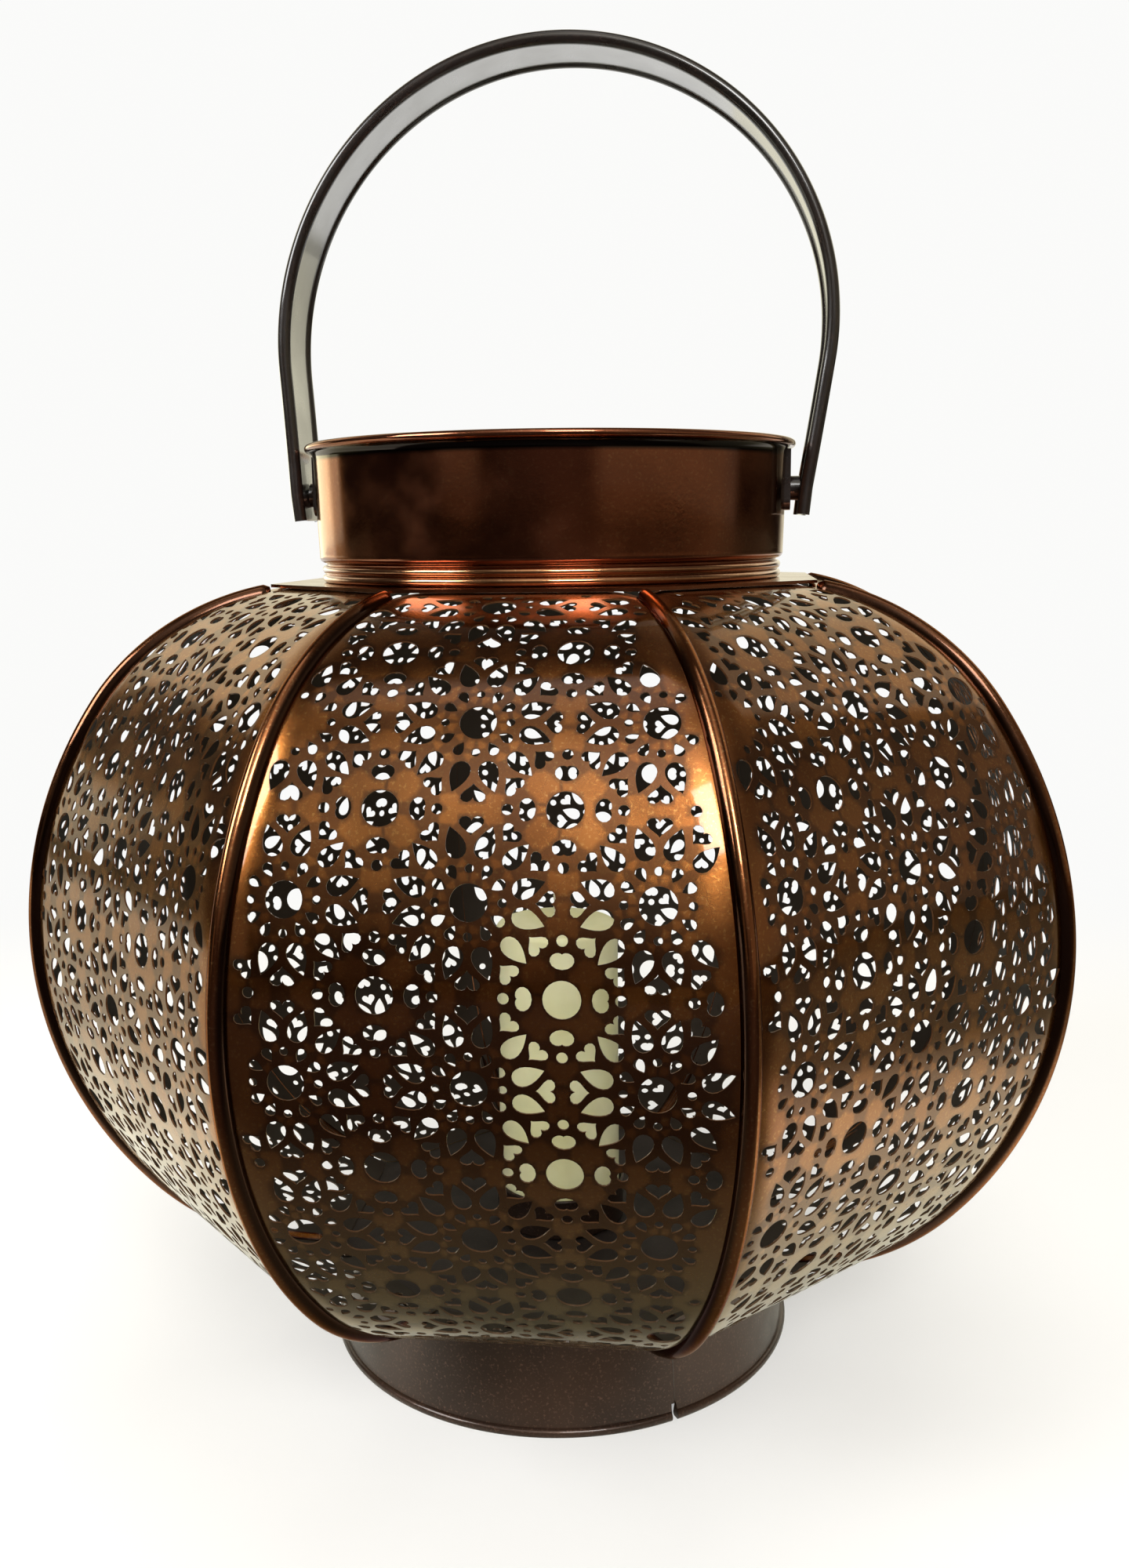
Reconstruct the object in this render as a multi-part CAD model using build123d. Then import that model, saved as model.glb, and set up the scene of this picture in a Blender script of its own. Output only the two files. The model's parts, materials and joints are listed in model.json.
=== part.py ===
"""Punched tin lantern: an eight-sided, rolled-panel bulb on a round foot, with a collar and a swinging handle.

Millimetres. +Z is up and the origin is on the ground at the centre of the foot.
The front panel faces -Y, and the handle's pivot axis runs along X.
"""
from build123d import *
from math import asin, atan2, ceil, cos, degrees, hypot, pi, radians, sin, sqrt, tan
import os

# Sheet and fits
sheet = 0.7
fit_clearance = 0.08
seat_clearance = 0.05
round_share = 0.45

# Body: eight panels, flat across and rolled from base to neck
side_count = 8
belly_radius = 140.0
belly_rise = 96.0
hip_inset = 25.0
hip_rise = 25.5
base_apothem = 59.0
shoulder_inset = 17.4
shoulder_rise = 60.9
neck_apothem = 68.2
neck_rise = 89.4
panel_gap = 1.2

# Seam ribs over the corners
rib_width = 3.6
rib_proud = 1.3

# Punched lattice: round holes and leaves on a square grid, with a rosette of four petals between round holes
grid_pitch = 18.55
grid_shift_across = -2.0
grid_shift_up = -4.8
round_hole = 7.4
leaf_length = 6.4
leaf_width = 3.7
petal_length = 6.2
petal_width = 3.5
rosette_reach = 6.6
rosette_spread = 3.05
rosette_tilt = 20.0
side_margin = 5.5
end_margin = 5.0

# Foot
foot_height = 29.0
foot_bottom_radius = 65.0
foot_top_radius = 63.0
foot_bead = 2.6
foot_flat = 0.3
foot_seam_angle = 30.0
foot_seam_lap = 7.0
foot_notch_width = 1.6
foot_notch_height = 4.5

# Base plate, shoulder ring
plate_thickness = 0.8
base_plate_overlap = 5.0
shoulder_overlap = 1.8

# Collar and neck band
collar_height = 35.6
collar_bottom_radius = 61.0
collar_top_radius = 63.0
rim_reach = 2.5
rim_thickness = 1.5
collar_seat = 2.5
neck_bead = 2.3
neck_bead_count = 2

# Handle, lugs, pivots
handle_width = 22.0
handle_web = 1.1
handle_bead = 2.6
handle_bulge = 3.8
handle_arch_height = 39.5
handle_end_drop = 7.0
pivot_below_rim = 12.4
handle_standoff = 5.2
lug_width = 16.0
lug_thickness = 1.6
lug_drop = 5.8
lug_below_rim = 1.0
rivet_shank = 3.2
rivet_head = 4.6
rivet_head_thickness = 1.0
spacer_outside = 6.4

# Candle and its cup
candle_diameter = 34.8
candle_height = 88.0
candle_edge = 1.6
wick_diameter = 1.8
wick_height = 9.0
wick_root = 6.0
cup_height = 12.0
cup_clearance = 0.5

# Heights worked out from the sizes above
base_z = foot_height
belly_z = base_z + belly_rise
neck_z = belly_z + neck_rise
shoulder_top = neck_z + plate_thickness
rim_z = shoulder_top + collar_height
pivot_z = rim_z - pivot_below_rim
half_turn = pi / side_count
belly_apothem = belly_radius * cos(half_turn)
big = 4 * belly_radius


def tangent_arc(start, direction, end):
    """Centre, radius and end direction of the arc that leaves start along direction and passes through end."""
    chord = (end[0] - start[0], end[1] - start[1])
    normal = (-direction[1], direction[0])
    across = chord[0] * normal[0] + chord[1] * normal[1]
    along = chord[0] * direction[0] + chord[1] * direction[1]
    radius = (chord[0] ** 2 + chord[1] ** 2) / (2 * across)
    turn = 2 * atan2(across, along)
    centre = (start[0] + radius * normal[0], start[1] + radius * normal[1])
    leaving = (
        direction[0] * cos(turn) - direction[1] * sin(turn),
        direction[0] * sin(turn) + direction[1] * cos(turn),
    )
    return centre, abs(radius), turn, leaving


# Panel outline in its own upright plane: apothem outwards, height up
belly_point = (belly_apothem, belly_z)
hip_point = (belly_apothem - hip_inset, base_z + hip_rise)
base_point = (base_apothem, base_z)
shoulder_point = (belly_apothem - shoulder_inset, belly_z + shoulder_rise)
neck_point = (neck_apothem, neck_z)


def outline_arcs():
    """Arcs of the panel's outer face from base to neck, as centre, radius, first angle and last angle."""
    lower = tangent_arc(belly_point, (0, -1), hip_point)
    lowest = tangent_arc(hip_point, lower[3], base_point)
    upper = tangent_arc(belly_point, (0, 1), shoulder_point)
    uppermost = tangent_arc(shoulder_point, upper[3], neck_point)
    spans = (
        (lowest, base_point, hip_point),
        (lower, hip_point, belly_point),
        (upper, belly_point, shoulder_point),
        (uppermost, shoulder_point, neck_point),
    )
    arcs = []
    for (centre, radius, turn, leaving), first, last in spans:
        begin = atan2(first[1] - centre[1], first[0] - centre[0])
        finish = atan2(last[1] - centre[1], last[0] - centre[0])
        arcs.append((centre, radius, begin, finish))
    return arcs


arcs = outline_arcs()


def on_arc(arc, angle, offset):
    """Point of an outline arc at an angle, moved outwards by offset, in the panel's upright plane."""
    centre, radius = arc[0], arc[1]
    return centre[0] + (radius + offset) * cos(angle), centre[1] + (radius + offset) * sin(angle)


def outline_band(inner, outer):
    """Face between two offsets of the panel outline, in the plane across the front panel's middle."""
    def chain(offset):
        edges = []
        for arc in arcs:
            angles = (arc[2], (arc[2] + arc[3]) / 2, arc[3])
            points = [on_arc(arc, angle, offset) for angle in angles]
            edges.append(ThreePointArc(*[(0, -a, z) for a, z in points]))
        return edges

    outer_edges = chain(outer)
    inner_edges = chain(inner)
    lower_end = Line(inner_edges[0] @ 0, outer_edges[0] @ 0)
    upper_end = Line(inner_edges[-1] @ 1, outer_edges[-1] @ 1)
    return make_face(outer_edges + inner_edges + [lower_end, upper_end])


def rolled_sheet(inner, outer, half_width):
    """Outline band carried sideways across the front panel, half_width to each side."""
    return extrude(outline_band(inner, outer), half_width, dir=(1, 0, 0), both=True)


def corner_slab(clear):
    """Wedge of the front panel's own eighth, with each side plane moved in by clear."""
    reach = big / cos(half_turn)
    tip = clear / sin(half_turn)
    left = (-reach * sin(half_turn), -tip - reach * cos(half_turn))
    right = (reach * sin(half_turn), -tip - reach * cos(half_turn))
    triangle = make_face(Polyline((0, -tip), left, right, close=True))
    return extrude(triangle, big, dir=(0, 0, 1), both=True)


def outline_lengths():
    """Arc lengths of the outline from the belly: down to the base (negative) and up to the neck."""
    lengths = [radius * abs(finish - begin) for centre, radius, begin, finish in arcs]
    return -(lengths[0] + lengths[1]), lengths[2] + lengths[3]


def outline_site(up):
    """Point and outward angle on the panel's outer face, at an arc length up from the belly."""
    lengths = [arc[1] * abs(arc[3] - arc[2]) for arc in arcs]
    if up >= 0:
        arc, start, run = (arcs[2], arcs[2][2], up) if up <= lengths[2] else (arcs[3], arcs[3][2], up - lengths[2])
    else:
        arc, start, run = (arcs[1], arcs[1][3], up) if -up <= lengths[1] else (arcs[0], arcs[0][3], up + lengths[1])
    angle = start + run / arc[1]
    return on_arc(arc, angle, 0), angle


def leaf_face():
    """Leaf with two round sides and two pointed ends, centred, its length along X."""
    tip = leaf_length / 2
    belly = leaf_width / 2
    upper = ThreePointArc((-tip, 0), (0, belly), (tip, 0))
    lower = ThreePointArc((-tip, 0), (0, -belly), (tip, 0))
    return make_face([upper, lower])


def petal_face():
    """Six-sided petal with two pointed ends, centred, its length along X."""
    tip = petal_length / 2
    shoulder = petal_length / 6
    side = petal_width / 2
    upper = ((tip, 0), (shoulder, side), (-shoulder, side))
    lower = ((-tip, 0), (-shoulder, -side), (shoulder, -side))
    return make_face(Polyline(*upper, *lower, close=True))


def rosette(turn):
    """Places and turns of a rosette's petals, in pairs to either side of its middle, with the whole turned."""
    petals = []
    for side in (1, -1):
        for rise in (1, -1):
            spot = Vector(side * rosette_reach, rise * rosette_spread, 0).rotate(Axis.Z, turn)
            petals.append((spot.X, spot.Y, turn - side * rise * rosette_tilt))
    return petals


def punch(across, up, face):
    """Face carried through the sheet, square to the panel at a site."""
    (apothem, height), angle = outline_site(up)
    outward = Vector(0, -cos(angle), sin(angle))
    seat = Plane(Vector(across, -apothem, height), x_dir=(1, 0, 0), z_dir=outward)
    return extrude(seat * face, 3 * sheet, both=True)


def punches():
    """Every round hole, leaf and petal of the lattice that keeps clear of the panel's margins."""
    low, high = outline_lengths()
    rows = ceil((high - low) / grid_pitch)
    columns = ceil(belly_radius / grid_pitch)
    circle = make_face(CenterArc((0, 0), round_hole / 2, 0, 360))
    leaf = leaf_face()
    petal = petal_face()
    tools = []

    def add(across, up, face, size):
        if not low + end_margin + size / 2 < up < high - end_margin - size / 2:
            return
        apothem = min(outline_site(up - size / 2)[0][0], outline_site(up + size / 2)[0][0])
        if abs(across) + size / 2 < apothem * tan(half_turn) - side_margin:
            tools.append(punch(across, up, face))

    for row in range(-rows, rows):
        for column in range(-columns, columns):
            across = grid_shift_across + column * grid_pitch
            up = grid_shift_up + row * grid_pitch
            even = (row + column) % 2 == 0
            if even:
                add(across, up, circle, round_hole)
            else:
                for petal_across, petal_up, turn in rosette(90 * (row % 2)):
                    add(across + petal_across, up + petal_up, Rot(0, 0, turn) * petal, petal_length)
            turn = 45 if even else -45
            add(across + grid_pitch / 2, up + grid_pitch / 2, Rot(0, 0, turn) * leaf, leaf_length)
    return tools


def front_panel():
    """The front panel: rolled sheet trimmed to its eighth and punched."""
    blank = rolled_sheet(-sheet, 0, belly_radius) & corner_slab(panel_gap / 2)
    return blank - punches()


def corner_rib():
    """Seam rib on the front panel's right corner: a cap over both panel edges and a web between them."""
    half = rib_width / 2
    right_corner = Rot(0, 0, degrees(half_turn))
    near_corner = corner_slab(0) - corner_slab(half)
    in_gap = corner_slab(0) - corner_slab(panel_gap / 2 - seat_clearance)
    cap = rolled_sheet(seat_clearance, rib_proud, belly_radius) & near_corner
    web = rolled_sheet(-sheet, rib_proud, belly_radius) & in_gap
    right_half = (cap + web) & Pos(big / 2, 0, 0) * Box(big, 2 * big, 2 * big)
    plane = Plane((0, 0, 0), z_dir=(cos(half_turn), sin(half_turn), 0))
    left_half = mirror(right_half, plane)
    rib = right_half + left_half
    base_corner = (base_apothem + base_plate_overlap) / cos(half_turn) + seat_clearance
    neck_corner = (neck_apothem + shoulder_overlap) / cos(half_turn) + seat_clearance
    base_cut = Pos(0, 0, belly_z - big / 2) * Cylinder(base_corner, big)
    neck_cut = Pos(0, 0, belly_z + big / 2) * Cylinder(neck_corner, big)
    return rib - base_cut - neck_cut


def octagon(apothem):
    """Eight-sided face with flats square to the panels."""
    return RegularPolygon(apothem, side_count, major_radius=False, rotation=degrees(half_turn))


def base_plate():
    """Flat eight-sided floor under the panel ends, on top of the foot ring."""
    plate = extrude(octagon(base_apothem + base_plate_overlap), plate_thickness)
    return Pos(0, 0, base_z - plate_thickness - seat_clearance) * plate


def turned(points):
    """Solid of revolution about Z from a closed outline of radius and height."""
    face = make_face(Polyline(*[(r, 0, z) for r, z in points], close=True))
    return revolve(face, Axis.Z)


def foot_ring():
    """Upright strip with a rolled lower edge, worn flat underneath, a lapped seam and a notch at the seam."""
    top = base_z - plate_thickness - seat_clearance
    bead = foot_bead / 2
    low = bead - foot_flat
    inner_bottom = foot_bottom_radius - sheet
    inner_top = foot_top_radius - sheet
    wall = turned(((inner_bottom, low), (foot_bottom_radius, low), (foot_top_radius, top), (inner_top, top)))
    roll = Pos(0, 0, low) * Torus(foot_bottom_radius, bead)
    lap_wall = turned(
        (
            (foot_bottom_radius - sheet / 2, low + bead),
            (foot_bottom_radius + sheet, low + bead),
            (foot_top_radius + sheet, top),
            (foot_top_radius - sheet / 2, top),
        )
    )
    seam = Rot(0, 0, foot_seam_angle) * Pos(0, -big / 2, 0) * Box(foot_seam_lap, big, big)
    above_ground = Pos(0, 0, big / 2) * Box(big, big, big)
    ring = (wall + roll + (lap_wall & seam)) & above_ground
    notch_at = Pos(foot_seam_lap / 2, -foot_bottom_radius, 0)
    notch = Box(foot_notch_width, 4 * foot_bead, 2 * foot_notch_height)
    return ring - Rot(0, 0, foot_seam_angle) * notch_at * notch


def shoulder_ring():
    """Flat ring on the panels' upper ends, eight-sided outside and round inside, that carries the collar."""
    plate = extrude(octagon(neck_apothem + shoulder_overlap), plate_thickness)
    hole = Cylinder(collar_bottom_radius - sheet - collar_seat, 4 * plate_thickness)
    return Pos(0, 0, neck_z + seat_clearance) * (plate - hole)


def collar_wall_radius(height):
    """Outer radius of the collar wall at a height."""
    share = (height - shoulder_top) / collar_height
    return collar_bottom_radius + share * (collar_top_radius - collar_bottom_radius)


def collar():
    """Slightly flared tube with a turned-out rim, bored for the two pivot rivets."""
    foot = shoulder_top + seat_clearance
    under_rim = rim_z - rim_thickness
    wall_under_rim = collar_wall_radius(under_rim)
    wall = turned(
        (
            (collar_bottom_radius - sheet, foot),
            (collar_bottom_radius, foot),
            (wall_under_rim, under_rim),
            (wall_under_rim - sheet, under_rim),
        )
    )
    flange = turned(
        (
            (wall_under_rim - sheet, under_rim),
            (wall_under_rim + rim_reach, under_rim),
            (wall_under_rim + rim_reach, rim_z),
            (wall_under_rim - sheet, rim_z),
        )
    )
    outer_edges = flange.edges().filter_by(GeomType.CIRCLE).group_by(SortBy.RADIUS)[-1]
    flange = fillet(outer_edges, round_share * rim_thickness)
    bore = Pos(0, 0, pivot_z) * Rot(0, 90, 0) * Cylinder(rivet_shank / 2 + seat_clearance, big)
    return wall + flange - bore


def neck_band():
    """Band of stacked half-round beads round the collar's foot."""
    bead = neck_bead / 2
    centre = collar_wall_radius(shoulder_top + neck_bead_count * neck_bead) + seat_clearance + bead
    band = Part()
    for step in range(neck_bead_count):
        height = shoulder_top + seat_clearance + bead + step * (neck_bead - fit_clearance)
        band += Pos(0, 0, height) * Torus(centre, bead)
    return band


def leg_offset():
    """Distance from the lantern's axis to the handle leg's middle line, at the height of the pivots."""
    return collar_wall_radius(pivot_z) + handle_standoff


def handle_reach():
    """Radius of the arch's middle line, which swells a little beyond the pivots."""
    return leg_offset() + handle_bulge


def handle_lean():
    """Angle by which a handle leg leans outwards, as the tangent from the pivot to the arch."""
    away = hypot(leg_offset(), handle_arch_height)
    return asin(handle_reach() / away) - atan2(leg_offset(), handle_arch_height)


def leg_clear(radius):
    """Half the room along the pivot axis that the leaning leg takes within a radius of that axis."""
    return handle_web / 2 / cos(handle_lean()) + radius * tan(handle_lean()) + fit_clearance


def lug_stack():
    """Outward places along X at a pivot: collar wall, lug face, spacer end and rivet head seat."""
    wall = collar_wall_radius(pivot_z)
    lug_face = wall + lug_thickness + seat_clearance
    spacer_end = leg_offset() - leg_clear(spacer_outside / 2)
    head_seat = leg_offset() + leg_clear(rivet_head / 2)
    return wall, lug_face, spacer_end, head_seat


def right_lug():
    """Plate on the collar wall under the rim, hollowed behind to the wall's curve and bored for the rivet."""
    wall, lug_face, spacer_end, head_seat = lug_stack()
    top = rim_z - rim_thickness - lug_below_rim
    bottom = pivot_z - lug_drop
    outline = Rectangle(lug_width, top - bottom)
    outline = fillet(outline.vertices().group_by(Axis.Y)[0], round_share * min(lug_width, lug_drop))
    seat = Plane((lug_face, 0, (top + bottom) / 2), x_dir=(0, 1, 0), z_dir=(1, 0, 0))
    plate = extrude(seat * outline, -2 * lug_width)
    foot = shoulder_top + seat_clearance
    gap = seat_clearance
    hollow = turned(
        ((0, foot), (collar_bottom_radius + gap, foot), (collar_top_radius + gap, rim_z), (0, rim_z))
    )
    bore = Pos(wall, 0, pivot_z) * Rot(0, 90, 0) * Cylinder(rivet_shank / 2 + seat_clearance, big)
    return (plate & Pos(big / 2, 0, 0) * Box(big, big, 2 * big)) - hollow - bore


def right_spacer():
    """Short bush on the rivet, between lug and handle."""
    wall, lug_face, spacer_end, head_seat = lug_stack()
    length = spacer_end - lug_face - seat_clearance
    bush = Cylinder(spacer_outside / 2, length) - Cylinder(rivet_shank / 2 + seat_clearance, length)
    return Pos(lug_face + seat_clearance + length / 2, 0, pivot_z) * Rot(0, 90, 0) * bush


def right_rivet():
    """Pivot rivet: shank through collar, lug, spacer and handle, with a domed head outside and a tail inside."""
    wall, lug_face, spacer_end, head_seat = lug_stack()
    reach = rivet_head / 2
    inside_wall = collar_wall_radius(pivot_z - reach) - sheet
    tail_seat = sqrt(inside_wall ** 2 - reach ** 2) - seat_clearance
    shank = Cylinder(rivet_shank / 2, head_seat - tail_seat)
    shank = Pos((head_seat + tail_seat) / 2, 0, pivot_z) * Rot(0, 90, 0) * shank
    head = Cylinder(reach, rivet_head_thickness)
    head = fillet(head.edges().group_by(Axis.Z)[-1], round_share * rivet_head_thickness)
    outer = Pos(head_seat + rivet_head_thickness / 2, 0, pivot_z) * Rot(0, 90, 0) * head
    tail = Pos(tail_seat - rivet_head_thickness / 2, 0, pivot_z) * Rot(0, -90, 0) * head
    return shank + outer + tail


def handle_path():
    """Right half of the bail's middle line: from the square-cut end up the leaning leg and round to the top."""
    lean = handle_lean()
    reach = handle_reach()
    arch_z = pivot_z + handle_arch_height
    end = (leg_offset() - handle_end_drop * sin(lean), pivot_z - handle_end_drop * cos(lean))
    touch = (reach * cos(lean), arch_z - reach * sin(lean))
    halfway = radians(45) - lean / 2
    on_way = (reach * cos(halfway), arch_z + reach * sin(halfway))
    top = (0, arch_z + reach)
    return end, touch, on_way, top


def handle():
    """Bail of strip with hemmed edges, bored at both ends for the pivots."""
    end, touch, on_way, top = [(x, 0, z) for x, z in handle_path()]
    leg = Line(end, touch)
    arch = ThreePointArc(touch, on_way, top)
    path = Wire([leg, arch])
    along = Vector(*touch) - Vector(*end)
    start = Plane(Vector(*end), x_dir=(0, 1, 0), z_dir=along)
    hem = handle_width / 2 - handle_bead / 2
    web = Rectangle(2 * hem, handle_web)
    section = web + Pos(hem, 0) * Circle(handle_bead / 2) + Pos(-hem, 0) * Circle(handle_bead / 2)
    right = sweep(start * section, path=path)
    both = right + mirror(right, Plane.YZ)
    bore = Pos(0, 0, pivot_z) * Rot(0, 90, 0) * Cylinder(rivet_shank / 2 + fit_clearance, big)
    return both - bore


def candle_cup():
    """Low round cup standing on the base plate."""
    outside = candle_diameter / 2 + cup_clearance + sheet
    cup = Pos(0, 0, cup_height / 2) * Cylinder(outside, cup_height)
    inside = Pos(0, 0, cup_height / 2 + sheet) * Cylinder(outside - sheet, cup_height)
    return Pos(0, 0, base_z) * (cup - inside)


candle_foot = base_z + sheet


def candle():
    """Round pillar with softened edges and a hole down its top for the wick."""
    body = Cylinder(candle_diameter / 2, candle_height)
    body = fillet(body.edges(), candle_edge)
    hole = Pos(0, 0, candle_height / 2) * Cylinder(wick_diameter / 2 + seat_clearance, 2 * wick_root)
    return Pos(0, 0, candle_foot + candle_height / 2) * (body - hole)


def wick():
    """Cord of the wick, from its root in the candle to its tip."""
    length = wick_root - seat_clearance + wick_height
    cord = Cylinder(wick_diameter / 2, length)
    return Pos(0, 0, candle_foot + candle_height + wick_height - length / 2) * cord


panel_names = (
    "panel_front",
    "panel_front_right",
    "panel_right",
    "panel_back_right",
    "panel_back",
    "panel_back_left",
    "panel_left",
    "panel_front_left",
)

os.makedirs("parts", exist_ok=True)


def save(name, shape):
    """One file per piece, named for it."""
    export_step(shape, f"parts/{name}.step")


panel = front_panel()
rib = corner_rib()
for step, name in enumerate(panel_names):
    turn = Rot(0, 0, 360 * step / side_count)
    save(name, turn * panel)
    save(f"seam_rib_{step + 1}", turn * rib)

save("base_plate", base_plate())
save("foot_ring", foot_ring())
save("shoulder_ring", shoulder_ring())
save("collar", collar())
save("neck_band", neck_band())
save("handle", handle())
for side, turn in (("right", Rot(0, 0, 0)), ("left", Rot(0, 0, 180))):
    save(f"lug_{side}", turn * right_lug())
    save(f"pivot_spacer_{side}", turn * right_spacer())
    save(f"pivot_rivet_{side}", turn * right_rivet())
save("candle_cup", candle_cup())
save("candle", candle())
save("wick", wick())
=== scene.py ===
"""Punched tin lantern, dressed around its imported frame.

Metres, +Z up. The front panel faces -Y and the handle's pivot axis lies along X.
"""
import json

import bpy
import numpy as np
from mathutils import Matrix, Vector
from mathutils.geometry import delaunay_2d_cdt


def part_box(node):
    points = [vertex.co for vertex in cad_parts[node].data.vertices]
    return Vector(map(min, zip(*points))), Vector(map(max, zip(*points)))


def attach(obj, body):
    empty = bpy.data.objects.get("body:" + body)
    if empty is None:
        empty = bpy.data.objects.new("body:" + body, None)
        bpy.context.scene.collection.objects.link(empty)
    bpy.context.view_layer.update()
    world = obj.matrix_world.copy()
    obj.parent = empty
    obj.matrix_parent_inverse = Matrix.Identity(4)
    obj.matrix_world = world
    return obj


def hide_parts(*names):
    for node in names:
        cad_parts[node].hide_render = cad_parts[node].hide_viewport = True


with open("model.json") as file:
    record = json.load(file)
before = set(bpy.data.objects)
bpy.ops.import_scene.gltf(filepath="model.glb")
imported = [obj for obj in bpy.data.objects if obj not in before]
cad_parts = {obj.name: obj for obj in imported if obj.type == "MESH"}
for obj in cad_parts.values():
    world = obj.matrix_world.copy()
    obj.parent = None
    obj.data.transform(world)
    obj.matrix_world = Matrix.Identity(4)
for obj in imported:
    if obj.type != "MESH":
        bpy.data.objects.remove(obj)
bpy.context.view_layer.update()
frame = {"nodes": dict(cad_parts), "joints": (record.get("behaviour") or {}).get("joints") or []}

# Foot ring
# A strip of tin bent round, with its lower edge rolled outwards and its ends lapped and soldered.
# The roll is nicked where the lap ends, and the whole is dipped in dark brown lacquer.
foot_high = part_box("foot_ring")[1]
tin = 0.0007
foot_roll = 0.0013
foot_roll_flat = 0.0003
foot_roll_middle = np.array((foot_high.x - foot_roll, foot_roll - foot_roll_flat))
foot_roll_end = 445
foot_top = np.array((0.063, foot_high.z))
foot_inner_rise = 0.001
foot_outer_rise = 0.0003
foot_wall_count = 24
foot_seam_round = 30
foot_seam = np.radians(foot_seam_round - 90)
lap_run = 0.020
lap_edge = 0.0035
lap_drop = 0.0003
nick_half = 0.0008
nick_side = 1e-5
nick_height = 0.0045
nick_roof = 0.0003
nick_wall_share = 0.25


def arc(middle, radius, start, end, count):
    """Points on a circle from one angle to another, in degrees: middle plus radius times cosine and sine."""
    angle = np.radians(np.linspace(start, end, count))
    return np.asarray(middle) + radius * np.stack([np.cos(angle), np.sin(angle)], axis=-1)


def line(start, end, count):
    """Points spread evenly from start to end: start plus a share of the way."""
    share = np.linspace(0, 1, count)[:, None]
    return np.asarray(start) * (1 - share) + np.asarray(end) * share


def joined(*stretches):
    """One profile from several stretches, less each point that repeats the one before it."""
    least_step = 1e-7
    points = np.concatenate(stretches)
    moved = np.linalg.norm(np.diff(points, axis=0), axis=1) > least_step
    return points[np.concatenate([[True], moved])]


def ring(count):
    """Angles spread evenly once round the axis, in radians."""
    return np.linspace(0, 2 * np.pi, count, endpoint=False)


def turned(profile, angles):
    """Surface of revolution about Z: each radius times cosine and sine of the angle, at each height.

    The profile is one line of radii and heights, or one such line for each angle.
    """
    radius, height = profile[..., 0], profile[..., 1]
    angle = angles[:, None]
    return np.stack(np.broadcast_arrays(radius * np.cos(angle), radius * np.sin(angle), height), axis=-1)


def grid_faces(points, open_rows=False, open_columns=False):
    """Quads of a grid of points: a closed way joins its last line to its first.

    An open way has one many-sided face over each of its ends instead.
    """
    index = np.arange(points.shape[0] * points.shape[1]).reshape(points.shape[:2])
    next_row, next_column = np.roll(index, -1, axis=0), np.roll(index, -1, axis=1)
    quads = np.stack([index, next_row, np.roll(next_row, -1, axis=1), next_column], axis=-1)
    ends = []
    if open_rows:
        quads = quads[:-1]
        ends = [index[0], index[-1, ::-1]]
    if open_columns:
        quads = quads[:, :-1]
        ends = [index[::-1, 0], index[:, -1]]
    return quads.reshape(-1, 4).tolist() + [end.tolist() for end in ends]


def make_piece(name, points, faces, body, node, material, sharp=35):
    """Mesh object at the origin in place of a node, from points and faces, smooth up to a sharp angle."""
    mesh = bpy.data.meshes.new(name)
    mesh.from_pydata(np.reshape(points, (-1, 3)).tolist(), [], faces)
    mesh.polygons.foreach_set("use_smooth", np.ones(len(mesh.polygons), dtype=bool))
    mesh.set_sharp_from_angle(angle=np.radians(sharp))
    mesh.materials.append(material)
    piece = bpy.data.objects.new(name, mesh)
    bpy.context.scene.collection.objects.link(piece)
    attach(piece, body)
    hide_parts(node)
    return piece


def feed(socket, value):
    """Set a number, a colour or a vector on a socket, or link another node's output to it."""
    if isinstance(value, bpy.types.NodeSocket):
        socket.id_data.links.new(value, socket)
    elif socket.type == "RGBA":
        socket.default_value = (*value, 1)
    else:
        socket.default_value = value


def add_node(tree, kind, inputs=None, **settings):
    """New node in a shader tree, with its settings and with what each of its inputs is fed."""
    made = tree.nodes.new(kind)
    for name, value in settings.items():
        setattr(made, name, value)
    for name, value in (inputs or {}).items():
        feed(made.inputs[name], value)
    return made


def spread(value, low, high, to_low=0.0, to_high=1.0, ease="LINEAR"):
    """A value mapped from one range to another and kept within it, evenly or eased at both ends."""
    inputs = {"Value": value, "From Min": low, "From Max": high, "To Min": to_low, "To Max": to_high}
    return add_node(value.id_data, "ShaderNodeMapRange", inputs, interpolation_type=ease).outputs["Result"]


def mixed(share, first, second):
    """Two colours mixed: the first where the share is 0, the second where it is 1."""
    inputs = {"Factor": share, "A": first, "B": second}
    return add_node(share.id_data, "ShaderNodeMix", inputs, data_type="RGBA").outputs["Result"]


def worked_out(operation, *values):
    """Result of one sum on up to three values, of which one at least is another node's output."""
    tree = next(value.id_data for value in values if isinstance(value, bpy.types.NodeSocket))
    return add_node(tree, "ShaderNodeMath", dict(enumerate(values)), operation=operation).outputs["Value"]


def bumped(height, strength, distance):
    """Normals of a surface that a height raises, by at most a distance."""
    inputs = {"Height": height, "Strength": strength, "Distance": distance}
    return add_node(height.id_data, "ShaderNodeBump", inputs).outputs["Normal"]


def new_material(name):
    """New material, the place on its piece in metres, and the inputs of its one shader."""
    material = bpy.data.materials.new(name)
    material.use_nodes = True
    place = add_node(material.node_tree, "ShaderNodeTexCoord").outputs["Object"]
    return material, place, material.node_tree.nodes["Principled BSDF"].inputs


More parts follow.
